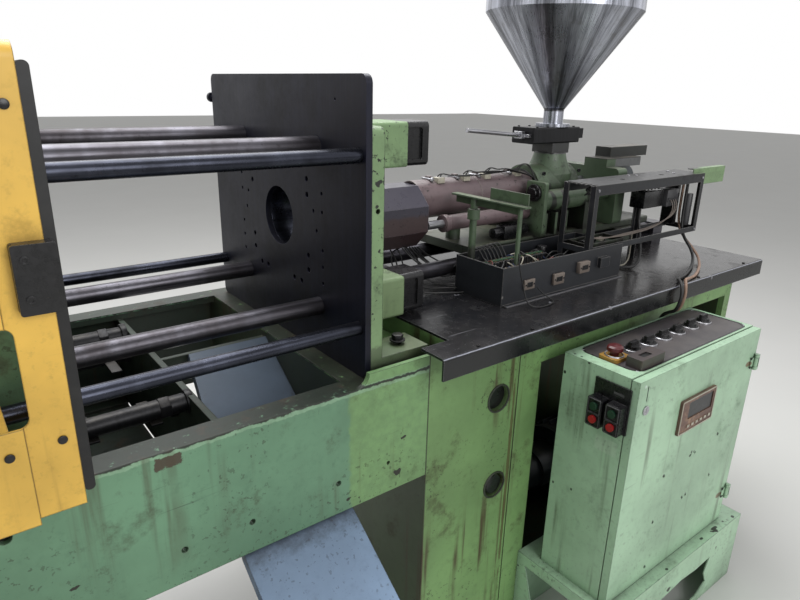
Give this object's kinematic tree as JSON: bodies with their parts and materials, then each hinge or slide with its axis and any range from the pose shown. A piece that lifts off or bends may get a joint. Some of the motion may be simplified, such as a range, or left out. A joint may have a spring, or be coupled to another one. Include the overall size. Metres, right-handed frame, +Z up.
{
  "type": "injection moulding machine",
  "caption": "Horizontal injection moulding machine with sliding guards, tie-bar clamp, screw injection unit, hopper and a separate control cabinet.",
  "frame": {"origin": "on the floor below the middle of the whole machine's bounding box", "axes": "+X from the clamp to the injection unit, +Y away from the operator, +Z up"},
  "size_m": [3.515, 1.203, 1.9573],
  "materials": {
    "beam_green": "worn satin paint",
    "base_green": "worn satin paint with oil stains",
    "casting_green": "oily painted casting",
    "machined_dark": "oily dark steel",
    "table_black": "satin black paint",
    "bar_steel": "oiled ground steel",
    "bright_steel": "bright ground steel",
    "stainless": "brushed stainless sheet",
    "guard_yellow": "satin yellow paint",
    "chute_blue": "dusty pale blue sheet",
    "cover_brown": "heat stained sheet",
    "nozzle_cover_grey": "heat stained dark sheet",
    "rack_black": "dusty black paint",
    "motor_grey": "oily grey paint",
    "cabinet_mint": "gloss mint paint, chipped",
    "panel_grey": "scuffed printed sheet",
    "display_beige": "matt moulded bezel",
    "black_plastic": "matt black moulding",
    "estop_yellow": "gloss moulding",
    "estop_red": "gloss moulding",
    "button_green": "gloss moulding",
    "button_red": "gloss moulding",
    "rubber_black": "matt rubber",
    "cable_black": "matt jacket",
    "cable_tan": "matt jacket"
  },
  "bodies": {
    "root": {"clamp_bed": "beam_green", "tank_base": "base_green", "levelling_feet": "machined_dark", "table_top": "table_black", "product_chute": "chute_blue", "fixed_platen": "base_green", "fixed_mould_plate": "machined_dark", "tie_bars": "bar_steel", "tie_bar_nuts": "black_plastic", "rear_platen": "beam_green", "clamp_cylinder": "beam_green", "guard_rods": "bar_steel", "carriage_rails": "bar_steel", "terminal_box": "rack_black", "instrument_rack": "rack_black", "switch_rail": "casting_green", "pump_motor": "motor_grey", "control_plinth": "cabinet_mint", "control_cabinet": "cabinet_mint", "control_panel_plate": "panel_grey", "starter_boxes": "black_plastic", "counter_block": "estop_yellow", "cable_black": "cable_black", "cable_tan": "cable_tan"},
    "clamp": {"moving_platen": "beam_green", "moving_mould_plate": "machined_dark", "clamp_ram": "bright_steel"},
    "ejector": {"ejector_yoke": "bright_steel"},
    "front_guard": {"front_guard": "guard_yellow", "guard_edge_strip": "rubber_black", "guard_latch": "black_plastic"},
    "rear_guard": {"rear_guard": "guard_yellow"},
    "carriage": {"injection_carriage": "casting_green", "barrel": "bar_steel", "nozzle": "bar_steel", "nozzle_cover": "nozzle_cover_grey", "barrel_covers": "cover_brown", "feed_housing": "casting_green", "injection_cylinders": "motor_grey", "hopper": "stainless", "slide_gate_housing": "machined_dark"},
    "hopper_lid": {"hopper_lid": "stainless"},
    "slide_gate": {"slide_gate": "bright_steel"},
    "screw_drive": {"screw_crosshead": "casting_green", "screw_motor": "motor_grey"},
    "screw": {"screw": "bright_steel"},
    "cabinet_door": {"cabinet_door": "cabinet_mint", "operator_display": "display_beige"},
    "door_lock": {"door_lock": "bright_steel"},
    "estop": {"estop_button": "estop_red"},
    "knob_1": {"selector_knob_1": "black_plastic"},
    "knob_2": {"selector_knob_2": "black_plastic"},
    "knob_3": {"selector_knob_3": "black_plastic"},
    "knob_4": {"selector_knob_4": "black_plastic"},
    "knob_5": {"selector_knob_5": "black_plastic"},
    "knob_6": {"selector_knob_6": "black_plastic"},
    "start_button_1": {"start_button_1": "button_green"},
    "stop_button_1": {"stop_button_1": "button_red"},
    "start_button_2": {"start_button_2": "button_green"},
    "stop_button_2": {"stop_button_2": "button_red"}
  },
  "joints": [
    {"name": "clamp_slide", "type": "slide", "parent": "root", "child": "clamp", "axis": [1, 0, 0], "range_m": [0, 0.3]},
    {"name": "ejector_slide", "type": "slide", "parent": "clamp", "child": "ejector", "axis": [1, 0, 0], "range_m": [0, 0.06]},
    {"name": "front_guard_slide", "type": "slide", "parent": "root", "child": "front_guard", "axis": [1, 0, 0], "range_m": [0, 0.54]},
    {"name": "rear_guard_slide", "type": "slide", "parent": "root", "child": "rear_guard", "axis": [1, 0, 0], "range_m": [0, 0.54]},
    {"name": "carriage_slide", "type": "slide", "parent": "root", "child": "carriage", "axis": [1, 0, 0], "range_m": [-0.04, 0.12]},
    {"name": "injection_slide", "type": "slide", "parent": "carriage", "child": "screw_drive", "axis": [-1, 0, 0], "range_m": [0, 0.1]},
    {"name": "screw_turn", "type": "hinge", "parent": "screw_drive", "child": "screw", "pos_m": [1.2425, 0.119, 1.235], "axis": [1, 0, 0], "continuous": true},
    {"name": "gate_slide", "type": "slide", "parent": "carriage", "child": "slide_gate", "axis": [-1, 0, 0], "range_m": [0, 0.055]},
    {"name": "lid_hinge", "type": "hinge", "parent": "carriage", "child": "hopper_lid", "pos_m": [1.1425, 0.377, 1.9203], "axis": [-1, 0, 0], "range_deg": [0, 110]},
    {"name": "door_hinge", "type": "hinge", "parent": "root", "child": "cabinet_door", "pos_m": [1.3165, -0.573, 0.54], "axis": [0, 0, 1], "range_deg": [0, 110]},
    {"name": "door_lock_turn", "type": "hinge", "parent": "cabinet_door", "child": "door_lock", "pos_m": [0.7445, -0.5665, 0.815], "axis": [0, 1, 0], "range_deg": [0, 90]},
    {"name": "knob_1_turn", "type": "hinge", "parent": "root", "child": "knob_1", "pos_m": [0.8665, -0.4395, 0.9], "axis": [0, 0, 1], "range_deg": [-45, 45]},
    {"name": "knob_2_turn", "type": "hinge", "parent": "root", "child": "knob_2", "pos_m": [0.939, -0.4395, 0.9], "axis": [0, 0, 1], "range_deg": [-45, 45]},
    {"name": "knob_3_turn", "type": "hinge", "parent": "root", "child": "knob_3", "pos_m": [1.0115, -0.4395, 0.9], "axis": [0, 0, 1], "range_deg": [-45, 45]},
    {"name": "knob_4_turn", "type": "hinge", "parent": "root", "child": "knob_4", "pos_m": [1.084, -0.4395, 0.9], "axis": [0, 0, 1], "range_deg": [-45, 45]},
    {"name": "knob_5_turn", "type": "hinge", "parent": "root", "child": "knob_5", "pos_m": [1.1565, -0.4395, 0.9], "axis": [0, 0, 1], "range_deg": [-45, 45]},
    {"name": "knob_6_turn", "type": "hinge", "parent": "root", "child": "knob_6", "pos_m": [1.229, -0.4395, 0.9], "axis": [0, 0, 1], "range_deg": [-45, 45]},
    {"name": "estop_press", "type": "slide", "parent": "root", "child": "estop", "axis": [0, 0, -1], "range_m": [0, 0.005], "stiffness_N_per_m": 1500},
    {"name": "start_press_1", "type": "slide", "parent": "root", "child": "start_button_1", "axis": [1, 0, 0], "range_m": [0, 0.003], "stiffness_N_per_m": 600},
    {"name": "stop_press_1", "type": "slide", "parent": "root", "child": "stop_button_1", "axis": [1, 0, 0], "range_m": [0, 0.003], "stiffness_N_per_m": 600},
    {"name": "start_press_2", "type": "slide", "parent": "root", "child": "start_button_2", "axis": [1, 0, 0], "range_m": [0, 0.003], "stiffness_N_per_m": 600},
    {"name": "stop_press_2", "type": "slide", "parent": "root", "child": "stop_button_2", "axis": [1, 0, 0], "range_m": [0, 0.003], "stiffness_N_per_m": 600}
  ]
}
